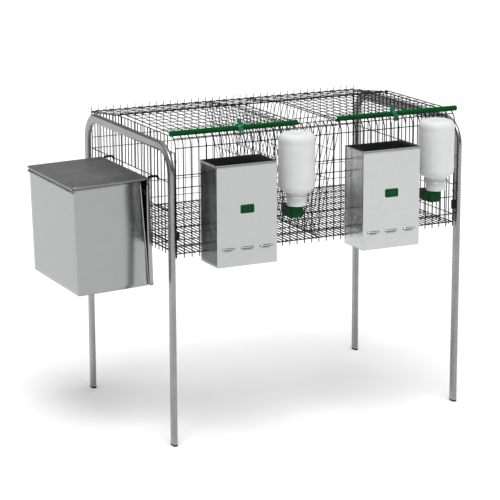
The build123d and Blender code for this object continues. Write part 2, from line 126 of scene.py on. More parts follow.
def spread(nt, fac, lo, hi, a=0.3, b=0.7):
    n = nt.nodes.new("ShaderNodeMapRange")
    n.inputs["From Min"].default_value = a
    n.inputs["From Max"].default_value = b
    n.inputs["To Min"].default_value = lo
    n.inputs["To Max"].default_value = hi
    nt.links.new(fac, n.inputs["Value"])
    return n.outputs["Result"]


def blend_rgb(nt, fac, a, b, mode="MIX"):
    n = nt.nodes.new("ShaderNodeMix")
    n.data_type = "RGBA"
    n.blend_type = mode
    if isinstance(fac, float):
        n.inputs[0].default_value = fac
    else:
        nt.links.new(fac, n.inputs[0])
    nt.links.new(a, n.inputs[6])
    nt.links.new(b, n.inputs[7])
    return n.outputs[2]


def bump(nt, sh, parts, dist=0.001):
    last = None
    for fac, strength in parts:
        b = nt.nodes.new("ShaderNodeBump")
        b.inputs["Strength"].default_value = strength
        b.inputs["Distance"].default_value = dist
        nt.links.new(fac, b.inputs["Height"])
        if last is not None:
            nt.links.new(last, b.inputs["Normal"])
        last = b.outputs["Normal"]
    nt.links.new(last, sh.inputs["Normal"])


def zinc(name, base, rough, spangle=0.10, stain=0.08, grain=(60.0, 60.0, 6.0), cell=90.0, bumps=0.10):
    """Zinc-coated steel: spangle cells, rolling grain, faint stains."""
    m, nt, sh, co = tree(name)
    sh.inputs["Metallic"].default_value = 1.0
    sh.inputs["IOR"].default_value = 1.8
    v = nt.nodes.new("ShaderNodeTexVoronoi")
    v.inputs["Scale"].default_value = cell
    warp = nt.nodes.new("ShaderNodeVectorMath")
    warp.operation = "MULTIPLY_ADD"
    wn = nt.nodes.new("ShaderNodeTexNoise")
    wn.inputs["Scale"].default_value = 140.0
    nt.links.new(co, wn.inputs["Vector"])
    nt.links.new(wn.outputs["Color"], warp.inputs[0])
    warp.inputs[1].default_value = (0.006, 0.006, 0.006)
    nt.links.new(co, warp.inputs[2])
    nt.links.new(warp.outputs["Vector"], v.inputs["Vector"])
    bw = nt.nodes.new("ShaderNodeRGBToBW")
    nt.links.new(v.outputs["Color"], bw.inputs["Color"])
    cells = bw.outputs["Val"]
    g = noise(nt, co, 30.0, 4.0, 0.6, grain)
    s = noise(nt, co, 7.0, 5.0, 0.62)
    lo = [c * (1 - spangle) for c in base]
    hi = [min(1.0, c * (1 + spangle)) for c in base]
    c1 = ramp(nt, cells, [(0.2, lo), (0.8, hi)])
    st = ramp(nt, s, [(0.32, [1 - 2.2 * stain] * 3), (0.62, [1.0, 1.0, 1.0])])
    gr = ramp(nt, g, [(0.3, [1 - 0.5 * spangle] * 3), (0.7, [1.0, 1.0, 1.0])])
    c2 = blend_rgb(nt, 1.0, c1, st, "MULTIPLY")
    c3 = blend_rgb(nt, 1.0, c2, gr, "MULTIPLY")
    nt.links.new(c3, sh.inputs["Base Color"])
    add = nt.nodes.new("ShaderNodeMath")
    add.operation = "ADD"
    nt.links.new(spread(nt, s, rough * 0.85, rough * 1.15), add.inputs[0])
    nt.links.new(spread(nt, cells, -0.12 * rough * spangle / 0.05, 0.12 * rough * spangle / 0.05, 0.1, 0.9), add.inputs[1])
    nt.links.new(add.outputs[0], sh.inputs["Roughness"])
    bump(nt, sh, [(g, bumps * 0.2), (noise(nt, co, 16.0, 2.0), bumps * 2.0)], 0.0006)
    return m


def wire_zinc(name, lo, hi, rough=0.34):
    """Drawn wire with a zinc coat: patchy tone along the wire, fine die lines."""
    m, nt, sh, co = tree(name)
    sh.inputs["Metallic"].default_value = 1.0
    a = noise(nt, co, 26.0, 4.0, 0.6)
    b = noise(nt, co, 420.0, 2.0, 0.5)
    c1 = ramp(nt, a, [(0.30, lo), (0.70, hi)])
    c2 = ramp(nt, b, [(0.25, [0.74] * 3), (0.65, [1.0] * 3)])
    nt.links.new(blend_rgb(nt, 1.0, c1, c2, "MULTIPLY"), sh.inputs["Base Color"])
    nt.links.new(spread(nt, b, rough * 0.8, rough * 1.3), sh.inputs["Roughness"])
    bump(nt, sh, [(b, 0.25)], 0.0003)
    return m


def plastic(name, base, rough, mottle=0.12, grain=900.0, grain_bump=0.10, spec=0.5, coat=0.0, sub=0.0, scratch=0.04):
    """Moulded plastic: fine eggshell grain, cloudy tone, rubbed patches."""
    m, nt, sh, co = tree(name)
    sh.inputs["Specular IOR Level"].default_value = spec
    sh.inputs["Coat Weight"].default_value = coat
    sh.inputs["Coat Roughness"].default_value = 0.2
    if sub:
        sh.inputs["Subsurface Weight"].default_value = sub
        sh.inputs["Subsurface Radius"].default_value = (0.012, 0.012, 0.012)
        sh.inputs["Subsurface Scale"].default_value = 1.0
    a = noise(nt, co, 22.0, 4.0, 0.6)
    g = noise(nt, co, grain, 2.0, 0.5)
    r = noise(nt, co, 60.0, 5.0, 0.7, (1.0, 1.0, 0.25))
    lo = [c * (1 - mottle) for c in base]
    hi = [min(1.0, c * (1 + mottle)) for c in base]
    c1 = ramp(nt, a, [(0.3, lo), (0.7, hi)])
    rub = ramp(nt, r, [(0.62, base), (0.78, [min(1.0, c + scratch) for c in base])])
    fac = spread(nt, r, 0.0, 0.5, 0.6, 0.8)
    nt.links.new(blend_rgb(nt, fac, c1, rub), sh.inputs["Base Color"])
    nt.links.new(spread(nt, r, rough * 0.85, rough * 1.2), sh.inputs["Roughness"])
    bump(nt, sh, [(g, grain_bump), (a, 0.05)], 0.0004)
    return m


M = {
    "galvanised_tube": zinc("Tube_Zinc", (0.315, 0.317, 0.32), 0.26, 0.06, 0.09, (90.0, 90.0, 3.0), 160.0, 0.06),
    # mesh wire: galvanised wire given a near-black tone, painted shade for wires that read dark in shadow
    "galvanised_wire": wire_zinc("Wire_Zinc_Painted_Shade", (0.006, 0.006, 0.0065), (0.026, 0.026, 0.028)),
    "galvanised_sheet": zinc("Sheet_Zinc", (0.57, 0.572, 0.575), 0.20, 0.014, 0.012, (45.0, 45.0, 3.0), 95.0, 0.03),
    # hoppers: one galvanised sheet in two tones, painted shade on the left hopper (darker) and painted light on the
    # right one
    "hopper_left": zinc("Hopper_Left_Zinc_Painted_Shade", (0.475, 0.477, 0.48), 0.20, 0.014, 0.012, (45.0, 45.0, 3.0), 95.0, 0.03),
    "hopper_right": zinc("Hopper_Right_Zinc_Painted_Light", (0.53, 0.532, 0.535), 0.20, 0.014, 0.012, (45.0, 45.0, 3.0), 95.0, 0.03),
    "nest_sheet": zinc("Nest_Sheet_Zinc", (0.335, 0.337, 0.34), 0.16, 0.014, 0.014, (45.0, 45.0, 3.0), 80.0, 0.03),
    "grey_sheet": zinc("Lid_Sheet_Dull_Zinc", (0.29, 0.292, 0.295), 0.36, 0.03, 0.04, (3.0, 45.0, 45.0), 80.0, 0.05),
    # nest hooks: steel given a near-black tone, painted shade for hooks that sit in shadow
    "hook_steel": wire_zinc("Hook_Steel_Painted_Shade", (0.008, 0.008, 0.008), (0.02, 0.02, 0.02), 0.45),
    "dark_green_plastic": plastic("Dark_Green_Plastic", (0.0006, 0.052, 0.010), 0.42, 0.2, 700.0, 0.12, 0.10, 0.0, 0.0, 0.008),
    "bar_green": plastic("Bar_Green_Plastic", (0.0004, 0.062, 0.0115), 0.42, 0.2, 700.0, 0.12, 0.06, 0.0, 0.0, 0.008),
    "light_green_plastic": plastic("Light_Green_Plastic", (0.001, 0.135, 0.048), 0.30, 0.18, 700.0, 0.08, 0.3, 0.12),
    "black_plastic": plastic("Black_Plastic", (0.004, 0.004, 0.0045), 0.5, 0.25, 900.0, 0.2, 0.15),
    "bottle_plastic": plastic("Milky_Bottle_Plastic", (0.66, 0.662, 0.665), 0.42, 0.03, 240.0, 0.03, 0.25, 0.0, 0.6, 0.03),
    "seal_rubber": plastic("Seal_Rubber", (0.012, 0.012, 0.012), 0.7, 0.25, 600.0, 0.3, 0.3),
    "steel_pin": zinc("Pin_Steel", (0.62, 0.62, 0.63), 0.16, 0.02, 0.02, (200.0, 4.0, 200.0), 300.0, 0.04),
    "holder_wire": wire_zinc("Holder_Bright_Zinc", (0.62, 0.62, 0.63), (0.80, 0.80, 0.80), 0.30),
}


def finish(obj, body, slot, *nodes, mat=None, smooth=None):
    obj.data.materials.clear()
    obj.data.materials.append(M[mat or slot])
    if nodes:
        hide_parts(*nodes)
    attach(obj, body)
    return obj


def new_obj(name, bm, smooth=True, angle=None):
    bmesh.ops.recalc_face_normals(bm, faces=bm.faces)
    me = bpy.data.meshes.new(name)
    bm.to_mesh(me)
    bm.free()
    for p in me.polygons:
        p.use_smooth = smooth
    if smooth and angle is not None:
        me.set_sharp_from_angle(angle=math.radians(angle))
    ob = bpy.data.objects.new(name, me)
    bpy.context.scene.collection.objects.link(ob)
    return ob


def soften(obj, width, segments=2, angle=35.0):
    b = obj.modifiers.new("edges", "BEVEL")
    b.width = width
    b.segments = segments
    b.limit_method = "ANGLE"
    b.angle_limit = math.radians(angle)
    b.harden_normals = False
    return obj


# ------------------------------------------------------------------ wire work
def tube(bm, pts, r, sides=8, chamfer=True):
    """Round wire along points (metres), with chamfered cut ends."""
    n = len(pts)
    tan = []
    for i in range(n):
        a = pts[max(i - 1, 0)]
        b = pts[min(i + 1, n - 1)]
        tan.append((b - a).normalized())
    t = tan[0]
    ref = Vector((0, 0, 1)) if abs(t.z) < 0.9 else Vector((1, 0, 0))
    u = t.cross(ref).normalized()
    rings = []
    if chamfer:
        seq = [(pts[0] - tan[0] * r * 0.0, tan[0], 0.62)]
        seq += [(pts[0] + tan[0] * r * 0.4, tan[0], 1.0)]
        seq += [(pts[i], tan[i], 1.0) for i in range(1, n - 1)]
        seq += [(pts[-1] - tan[-1] * r * 0.4, tan[-1], 1.0), (pts[-1], tan[-1], 0.62)]
    else:
        seq = [(pts[i], tan[i], 1.0) for i in range(n)]
    for p, tg, k in seq:
        u = (u - tg * u.dot(tg)).normalized()
        w = tg.cross(u)
        rings.append([bm.verts.new(p + (u * math.cos(a) + w * math.sin(a)) * (r * k))
                      for a in [2 * math.pi * j / sides for j in range(sides)]])
    for a, b in zip(rings, rings[1:]):
        for j in range(sides):
            k = (j + 1) % sides
            bm.faces.new((a[j], a[k], b[k], b[j]))
    bm.faces.new(list(reversed(rings[0])))
    bm.faces.new(rings[-1])


def weld(bm, p, r):
    """Round bead where two wires are welded."""
    segs, rows = 6, 3
    top = bm.verts.new(p + Vector((0, 0, r)))
    bot = bm.verts.new(p - Vector((0, 0, r)))
    ring = []
    for i in range(1, rows + 1):
        a = math.pi * i / (rows + 1)
        ring.append([bm.verts.new(p + Vector((math.sin(a) * math.cos(2 * math.pi * j / segs) * r,
                                              math.sin(a) * math.sin(2 * math.pi * j / segs) * r,
                                              math.cos(a) * r))) for j in range(segs)])
    for j in range(segs):
        k = (j + 1) % segs
        bm.faces.new((top, ring[0][j], ring[0][k]))
        for a, b in zip(ring, ring[1:]):
            bm.faces.new((a[j], b[j], b[k], a[k]))
        bm.faces.new((bot, ring[-1][k], ring[-1][j]))


def run(p, q, amp=0.25, gap=110.0):
    """Points in mm from p to q with the slight waviness of straightened wire."""
    p, q = Vector(p), Vector(q)
    n = max(2, int((q - p).length / gap) + 1)
    out = []
    for i in range(n + 1):
        t = i / n
        w = p.lerp(q, t)
        if 0 < i < n:
            w = w + Vector((rng.uniform(-amp, amp), rng.uniform(-amp, amp), rng.uniform(-amp, amp)))
        out.append(w)
    return out


def wire(bm, pts, r, sides=8):
    tube(bm, [mm(*p) for p in pts], r / 1000.0, sides)


R_UP, R_ROW = 1.7, 1.5
Y_UP, Y_ROW = 325.5, 324.4         # uprights outside, rows inside
X_UP, X_ROW = 476.3, 474.7

FRONT_WIDE = [(-400.0, -200.0, 591.0, 789.0), (75.0, 275.0, 591.0, 789.0),
              (-125.0, -75.0, 671.0, 789.0), (350.0, 400.0, 671.0, 789.0)]


def cut_spans(lo, hi, holes):
    """Parts of lo..hi outside the holes."""
    spans, at = [], lo
    for a, b in sorted(holes):
        if b <= at or a >= hi:
            continue
        if a > at:
            spans.append((at, a))
        at = max(at, b)
    if at < hi:
        spans.append((at, hi))
    return spans


# front wall: uprights bend back over the top edge
bm = bmesh.new()
R = 36.0 + (Y_UP - HALF_Y)
arc = [(-HALF_Y + 36.0 - R * math.cos(math.radians(a)), 907.0 + R * math.sin(math.radians(a)))
       for a in (12, 24, 36, 48, 60, 72, 84, 90)]
for x in XS:
    holes = [(c + 0.6, d - 0.6) for a, b, c, d in FRONT_WIDE if a < x < b]
    for a, b in cut_spans(Z_TIP, 907.0, holes):
        jx = rng.uniform(-0.35, 0.35)
        pts = run((x + jx, -Y_UP, a), (x, -Y_UP, b), 0.22)
        if b == 907.0:
            pts += [Vector((x, y, z)) for y, z in arc]
        wire(bm, pts, R_UP)
for z in FRONT_ROWS:
    holes = [(a + 0.8, b - 0.8) for a, b, c, d in FRONT_WIDE if c < z < d]
    for a, b in cut_spans(-HALF_X - 2.0, HALF_X + 2.0, holes):
        wire(bm, run((a, -Y_ROW, z), (b, -Y_ROW, z), 0.25), 1.75 if z < 620.0 else R_ROW)
    for x in XS:
        if not any(a < x < b and c < z < d for a, b, c, d in FRONT_WIDE):
            weld(bm, mm(x, -(Y_UP + Y_ROW) / 2, z), 0.0019 if z < 620.0 else 0.0016)
cy, cz = -HALF_Y + 36.0 - (R - 1.8) * math.cos(math.asin(27.0 / 36.0)), 907.0 + (R - 1.8) * 27.0 / 36.0
wire(bm, run((-HALF_X - 2.0, cy, cz), (HALF_X + 2.0, cy, cz), 0.2), 1.65)
# border under the bent ends
wire(bm, run((-HALF_X - 2.0, -290.6, 941.6), (HALF_X + 2.0, -290.6, 941.6), 0.2), 1.2)
finish(new_obj("front_wall_wires", bm), "cage", "galvanised_wire", "front_wall_mesh")

# back wall
bm = bmesh.new()
for x in XS:
    wire(bm, run((x + rng.uniform(-0.3, 0.3), Y_UP, Z_TIP), (x, Y_UP, 930.4), 0.25), 1.1)
for z in BACK_ROWS:
    edge = z == BACK_ROWS[-1]
    wire(bm, run((-HALF_X - 2.0, Y_ROW, z), (HALF_X + 2.0, Y_ROW, z), 0.25), 1.7 if edge else 1.15)
    for x in XS:
        weld(bm, mm(x, (Y_UP + Y_ROW) / 2, z), 0.0023 if edge else 0.0012)
finish(new_obj("back_wall_wires", bm), "cage", "galvanised_wire", "back_wall_mesh")

# end walls
for name, s in (("left_end", -1), ("right_end", 1)):
    bm = bmesh.new()
    door = (YS[10], YS[16], 616.0, 797.0) if s < 0 else None
    for k, y in enumerate(YS):
        top = 896.0 if k < 2 else (939.6 if y < FALL_Y[0] else roof_z(y) - 1.4)
        holes = [(door[2] + 0.6, door[3] - 0.6)] if door and door[0] < y < door[1] else []
        for a, b in cut_spans(Z_TIP, top, holes):
            wire(bm, run((s * X_UP, y + rng.uniform(-0.3, 0.3), a), (s * X_UP, y, b), 0.22), R_UP)
    for z in END_ROWS[:-1]:
        y0 = YS[0] - 1.0
        holes = [(door[0] + 0.8, door[1] - 0.8)] if door and door[2] < z < door[3] else []
        for a, b in cut_spans(y0, YS[-1] + 1.0, holes):
            wire(bm, run((s * X_ROW, a, z), (s * X_ROW, b, z), 0.22), R_ROW)
        for k, y in enumerate(YS):
            if door and door[0] < y < door[1] and door[2] < z < door[3]:
                continue
            weld(bm, mm(s * (X_UP + X_ROW) / 2, y, z), 0.0013)
    # top wire, level and then down with the roof
    top = run((s * X_ROW, YS[2] - 2.0, 937.6), (s * X_ROW, FALL_Y[0], 937.6), 0.2)
    top += run((s * X_ROW, FALL_Y[0] + 6.0, roof_z(FALL_Y[0] + 6.0) - 2.8), (s * X_ROW, 323.6, roof_z(323.6) - 2.8), 0.2)
    wire(bm, top, R_ROW)
    for y in YS[2:]:
        weld(bm, mm(s * (X_UP + X_ROW) / 2, y, 937.6 if y < FALL_Y[0] else roof_z(y) - 2.8), 0.0013)
    finish(new_obj(name + "_wires", bm), "cage", "galvanised_wire", name + "_mesh")

# floor: close wires across the cage on a few long ones
bm = bmesh.new()
FX, FY = steps(-472.6, 472.6, 64), steps(-322.6, 322.6, 8)
for x in FX:
    wire(bm, run((x, -323.4, 591.4), (x, 323.4, 591.4), 0.25), 1.8)
for y in FY:
    wire(bm, run((-473.4, y, 590.0), (473.4, y, 590.0), 0.2), 1.5)
    for x in FX:
        weld(bm, mm(x, y, 590.9), 0.00125)
finish(new_obj("floor_wires", bm), "cage", "galvanised_wire", "floor_mesh")

# hay rack: two leaning sides that part the cage
def rack_x(z):
    return 1.6 + (80.0 - 1.6) * (z - 593.7) / (937.8 - 593.7)


DY, DZ = steps(-307.0, 322.6, 25), steps(593.7, 937.8, 4)[:-1]
for side, s in (("left", -1), ("right", 1)):
    bm = bmesh.new()

    def rk(y, z, o):
        return (s * (rack_x(z) + o), y, z)
    for y in DY:
        top = 939.0 if y < FALL_Y[0] else roof_z(y) - 1.5
        wire(bm, run(rk(y, 593.3, 0.6), rk(y, top, 0.6), 0.3), 1.15)
    for z in DZ:
        wire(bm, run(rk(-308.0, z + 0.3, -0.55), rk(323.0, z + 0.3, -0.55), 0.2), 1.05)
        for y in DY:
            weld(bm, mm(*rk(y, z + 0.3, 0.1)), 0.0011)
    top = run(rk(-308.0, 937.6, -0.7), rk(FALL_Y[0], 937.6, -0.7), 0.2)
    z1, z2 = roof_z(FALL_Y[0] + 6.0) - 2.8, roof_z(323.0) - 2.8
    top += run(rk(FALL_Y[0] + 6.0, z1, -0.7), rk(323.0, z2, -0.7), 0.2)
    wire(bm, top, 1.75)
    finish(new_obj("hay_rack_%s_wires" % side, bm), "cage", "galvanised_wire", "hay_rack_%s_mesh" % side)

# fixed roof behind the lids, falling to the back wall
bm = bmesh.new()
BY = steps(FALL_Y[0], FALL_Y[1], 4)
for x in XS[::2]:
    wire(bm, run((x, 103.0, roof_z(103.0) + 0.5), (x, 322.6, roof_z(322.6) + 0.5), 0.3), 1.05)
for y in BY:
    wire(bm, run((-476.6, y, roof_z(y) - 0.7), (476.6, y, roof_z(y) - 0.7), 0.25), 1.0)
    for x in XS[::2]:
        weld(bm, mm(x, y, roof_z(y) - 0.1), 0.0012)
# lacing wire wound round the two edge wires at the back
lace = []
for k in range(38 * 12 + 1):
    a = 2 * math.pi * k / 12
    lace.append(Vector((-475.0 + 25.0 * k / 12, 323.6 - 3.0 * math.cos(a), 916.0 - 3.0 * math.sin(a))))
wire(bm, lace, 0.9)
finish(new_obj("roof_back_wires", bm), "cage", "galvanised_wire", "roof_back_mesh")

# lids: long wires curled round the hinge wire at the back
for side, x0, x1 in (("left", -470.0, -62.0), ("right", 70.0, 470.0)):
    bm = bmesh.new()
    lx, ly = steps(x0, x1, 16), steps(-311.0, 94.0, 8)
    curl = 5.3
    for x in lx:
        pts = run((x, -314.0, 946.4), (x, HINGE_Y - 7.0, 946.4), 0.4, 90.0)
        pts += [Vector((x, HINGE_Y + curl * math.sin(math.radians(a)), HINGE_Z + curl * math.cos(math.radians(a))))
                for a in (0, 25, 50, 75, 100, 125, 150, 175, 200, 222)]
        wire(bm, pts, 1.75 if x in (lx[0], lx[-1]) else 1.35)
    for y in ly[:-1]:
        wire(bm, run((x0 - 1.6, y, 944.6), (x1 + 1.6, y, 944.6), 0.3), 1.3 if y == ly[0] else 0.95)
        for x in lx:
            weld(bm, mm(x, y, 945.4), 0.0013)
    # last long wire just in front of the curls
    wire(bm, run((x0 - 1.6, HINGE_Y - 11.0, 944.5), (x1 + 1.6, HINGE_Y - 11.0, 944.5), 0.3), R_ROW)
    finish(new_obj("lid_%s_wires" % side, bm), "lid_" + side, "galvanised_wire",
           "lid_%s_mesh" % side, "lid_%s_hinge_loops" % side)


# ------------------------------------------------------------------ sheet work
def wob(a, b, seed):
    """Low, slow waviness of thin sheet, about -1..1."""
    r = random.Random(seed)
    v = 0.0
    for k in range(5):
        fa, fb = r.uniform(0.4, 2.2), r.uniform(0.4, 2.2)
        pa, pb = r.uniform(0, 6.28), r.uniform(0, 6.28)
        v += math.sin(fa * a * math.pi + pa) * math.sin(fb * b * math.pi + pb)
    return v / 3.0


def ease(t, w):
    """0 at both ends of 0..1, 1 inside, over a width w."""
    d = min(t, 1 - t) / w
    d = max(0.0, min(1.0, d))
    return d * d * (3 - 2 * d)


def grid(bm, fn, us, vs, skip=None):
    rows = [[bm.verts.new(fn(u, v)) for u in us] for v in vs]
    for j in range(len(vs) - 1):
        for i in range(len(us) - 1):
            if skip and skip((us[i] + us[i + 1]) / 2, (vs[j] + vs[j + 1]) / 2):
                continue
            bm.faces.new((rows[j][i], rows[j][i + 1], rows[j + 1][i + 1], rows[j + 1][i]))
    return rows


def plate(name, bm, thick, offset=-1.0, edge=0.00025, angle=30):
    ob = new_obj(name, bm, True, angle)
    s = ob.modifiers.new("sheet", "SOLIDIFY")
    s.thickness = thick
    s.offset = offset
    s.use_even_offset = True
    if edge:
        soften(ob, edge, 2, 40)
    return ob


def bent_path(corners, r, gap):
    """Plan path through corners with small bend radii: (point, wall number, place along the wall 0..1)."""
    out = []
    n = len(corners)
    cor = [Vector(c) for c in corners]
    starts, ends = [None] * n, [None] * n
    for i in range(1, n - 1):
        a = (cor[i - 1] - cor[i]).normalized()
        b = (cor[i + 1] - cor[i]).normalized()
        starts[i] = cor[i] + a * r
        ends[i] = cor[i] + b * r
    for i in range(n - 1):
        p = ends[i] if ends[i] is not None else cor[i]
        q = starts[i + 1] if starts[i + 1] is not None else cor[i + 1]
        k = max(2, int((q - p).length / gap))
        for j in range(k + 1):
            t = j / k
            out.append((p.lerp(q, t), i, t))
        if starts[i + 1] is not None:
            c = starts[i + 1] + ends[i + 1] - cor[i + 1]
            va, vb = starts[i + 1] - c, ends[i + 1] - c
            for j in range(1, 5):
                t = j / 5
                w = (va * math.cos(t * math.pi / 2) + vb * math.sin(t * math.pi / 2))
                out.append((c + w, i + 0.5, 0.0))
    return out


def walls(bm, path, z0, z1, place, seed, amp, dents=(), gap=16.0, zs=None, cut=None):
    """Folded sheet standing on a plan path; place(x, y, z) puts it in the frame."""
    n = len(path)
    zs = zs or steps(z0, z1, max(2, int((z1 - z0) / gap)))
    rows = len(zs) - 1
    grid_v = []
    for z in zs:
        tz = (z - z0) / (z1 - z0)
        line = []
        for i, (p, wall, t) in enumerate(path):
            a, b = path[max(i - 1, 0)][0], path[min(i + 1, n - 1)][0]
            d = (b - a).normalized()
            nrm = Vector((d.y, -d.x))
            off = 0.0
            if wall == int(wall):
                off = amp * wob(t, tz, seed + int(wall)) * ease(t, 0.18) * (0.35 + 0.65 * ease(tz, 0.2))
            for dx, dy, dz, rad, depth in dents:
                q = (p.x - dx) ** 2 + (p.y - dy) ** 2 + (z - dz) ** 2
                off -= depth * math.exp(-q / (rad * rad))
            line.append(bm.verts.new(place(p.x + nrm.x * off, p.y + nrm.y * off, z)))
        grid_v.append(line)
    for j in range(rows):
        for i in range(n - 1):
            if cut and cut((path[i][0] + path[i + 1][0]) / 2, (zs[j] + zs[j + 1]) / 2):
                continue
            bm.faces.new((grid_v[j][i], grid_v[j][i + 1], grid_v[j + 1][i + 1], grid_v[j + 1][i]))


def add_stops(path, wall, xs):
    """Extra points on one straight wall, at the given x."""
    idx = [i for i, q in enumerate(path) if q[1] == wall]
    a, b = path[idx[0]], path[idx[-1]]
    pts = [path[i] for i in idx]
    for x in xs:
        t = (x - a[0].x) / (b[0].x - a[0].x)
        if all(abs(q[0].x - x) > 1.0 for q in pts):
            pts.append((a[0].lerp(b[0], t), wall, a[2] + (b[2] - a[2]) * t))
        else:
            k = min(range(len(pts)), key=lambda m: abs(pts[m][0].x - x))
            pts[k] = (a[0].lerp(b[0], t), wall, a[2] + (b[2] - a[2]) * t)
    pts.sort(key=lambda q: (q[0].x - a[0].x) / (b[0].x - a[0].x))
    return path[:idx[0]] + pts + path[idx[-1] + 1:]


def rim(bm, path, z, place, r, out=0.0, sides=8):
    """Rolled edge along a plan path."""
    pts = []
    n = len(path)
    for i, (p, wall, t) in enumerate(path):
        if wall == int(wall) and 0.0 < t < 1.0 and int(round(t * 20)) % 4:
            continue
        a, b = path[max(i - 1, 0)][0], path[min(i + 1, n - 1)][0]
        d = (b - a).normalized()
        pts.append(place(p.x + d.y * out, p.y - d.x * out, z))
    keep = [pts[0]]
    for q in pts[1:]:
        if (q - keep[-1]).length > 0.0004:
            keep.append(q)
    tube(bm, keep, r / 1000.0, sides)


# nest box body: one bent sheet for the three walls, a bottom, rolled top edge
yw = NB_W / 2
path = bent_path([(-1.0, yw), (-NB_L, yw), (-NB_L, -yw), (-1.0, -yw)], 2.0, 16.0)
DRAW_IN = 12.0


def drawn(x):
    """How far the side walls are drawn in, towards the cage."""
    return DRAW_IN * max(0.0, (x + NB_L) / NB_L) ** 2


path = [(Vector((p.x, math.copysign(abs(p.y) - drawn(p.x), p.y))) if w in (0, 2) else p, w, t) for p, w, t in path]


def slant(z):
    """Where the side walls end, further from the cage at the top."""
    return -12.0 - 16.0 * (z + NB_H) / NB_H


def nbs(x, y, z):
    xn = x if x < -100.0 else -100.0 + (x + 100.0) * (slant(z) + 100.0) / 99.0
    return nb(xn, y + math.copysign(drawn(x) - drawn(xn), y), z)


bm = bmesh.new()
walls(bm, path, -NB_H, -1.5, nbs, 31, 0.6, dents=((-NB_L, 23.0, -97.0, 9.0, 0.9), (-NB_L, 30.0, -110.0, 7.0, 0.5)))
grid(bm, lambda u, v: nb(u, v * (yw - drawn(u)) / yw, -NB_H + 0.5 + 0.5 * wob((u + NB_L) / NB_L, v / NB_W + 0.5, 77) * ease((u + NB_L) / (NB_L - 1.0), 0.15) * ease(v / NB_W + 0.5, 0.15)),
     steps(-NB_L + 0.6, -1.2, 14), steps(-yw + 0.6, yw - 0.6, 20))
nest_body = plate("nest_box_body", bm, 0.001, 0.0, 0.0002)
finish(nest_body, "nest_box", "galvanised_sheet", "nest_body", mat="nest_sheet")
bm = bmesh.new()
rim(bm, path, -2.4, nbs, 1.15, 0.55)
rim(bm, path, -NB_H + 0.6, nbs, 0.75, 0.15)
for s in (-1, 1):
    tube(bm, [nb(slant(z), s * (yw - drawn(slant(z)) + 0.8), z) for z in steps(-NB_H + 1.0, -2.4, 14)], 0.0022, 10)
finish(new_obj("nest_box_edges", bm), "nest_box", "galvanised_sheet", mat="nest_sheet")

# lid: top sheet, outer lip with hinge notches, narrow returns at the sides
prof = [(-0.4, 0.6), (-20.0, 0.6), (-50.0, 0.6), (-80.0, 0.6), (-110.0, 0.6), (-140.0, 0.6), (-170.0, 0.6), (-200.0, 0.6), (-225.0, 0.6), (HX + 0.4, 0.6),
        (HX - 0.9, 0.3), (HX - 1.7, -0.5), (HX - 2.1, -1.8), (HX - 2.1, -3.2), (HX - 1.4, -4.4), (HX + 0.2, -5.8), (HX + 0.9, -7.6), (HX + 0.9, -10.2), (HX - 0.2, -11.8),
        (HX - 1.6, HZ + 3.2), (HX - 2.1, HZ + 2.2), (HX - 2.1, HZ + 0.6), (HX - 2.1, HZ - 1.8)]
ly = sorted(set([round(v, 3) for v in steps(-yw - 1.2, yw + 1.2, 34)] + [q + d for q in (-150.0, 0.0, 150.0) for d in (-10.5, 10.5)]))


def lid_pt(k, y):
    x, z = prof[k]
    if z == 0.6:
        tx, ty = (x - HX) / -HX, (y + yw) / NB_W
        z += 0.5 * wob(tx, ty, 5) * ease(max(0, min(1, tx)), 0.25) * ease(max(0, min(1, ty)), 0.2)
    return nb(x, y, z)


bm = bmesh.new()
rows = [[bm.verts.new(lid_pt(k, y)) for y in ly] for k in range(len(prof))]
for k in range(len(prof) - 1):
    for i in range(len(ly) - 1):
        ymid, zmid = (ly[i] + ly[i + 1]) / 2, (prof[k][1] + prof[k + 1][1]) / 2
        if zmid < HZ + 3.2 and any(abs(ymid - q) < 10.5 for q in (-150.0, 0.0, 150.0)):
            continue
        bm.faces.new((rows[k][i], rows[k][i + 1], rows[k + 1][i + 1], rows[k + 1][i]))
for s, col in ((-1, 0), (1, len(ly) - 1)):
    last = [rows[k][col] for k in range(10)]
    for dz, dy in ((0.5, 0.5), (1.4, 0.7), (3.4, 0.7)):
        new = [bm.verts.new(nb(prof[k][0], ly[col] + s * dy, 0.6 - dz)) for k in range(10)]
        for k in range(9):
            bm.faces.new((last[k], last[k + 1], new[k + 1], new[k]))
        last = new
bmesh.ops.delete(bm, geom=[v for v in bm.verts if not v.link_faces], context="VERTS")
finish(plate("nest_box_lid", bm, 0.001, 0.0, 0.0002), "nest_lid", "grey_sheet", "nest_lid")

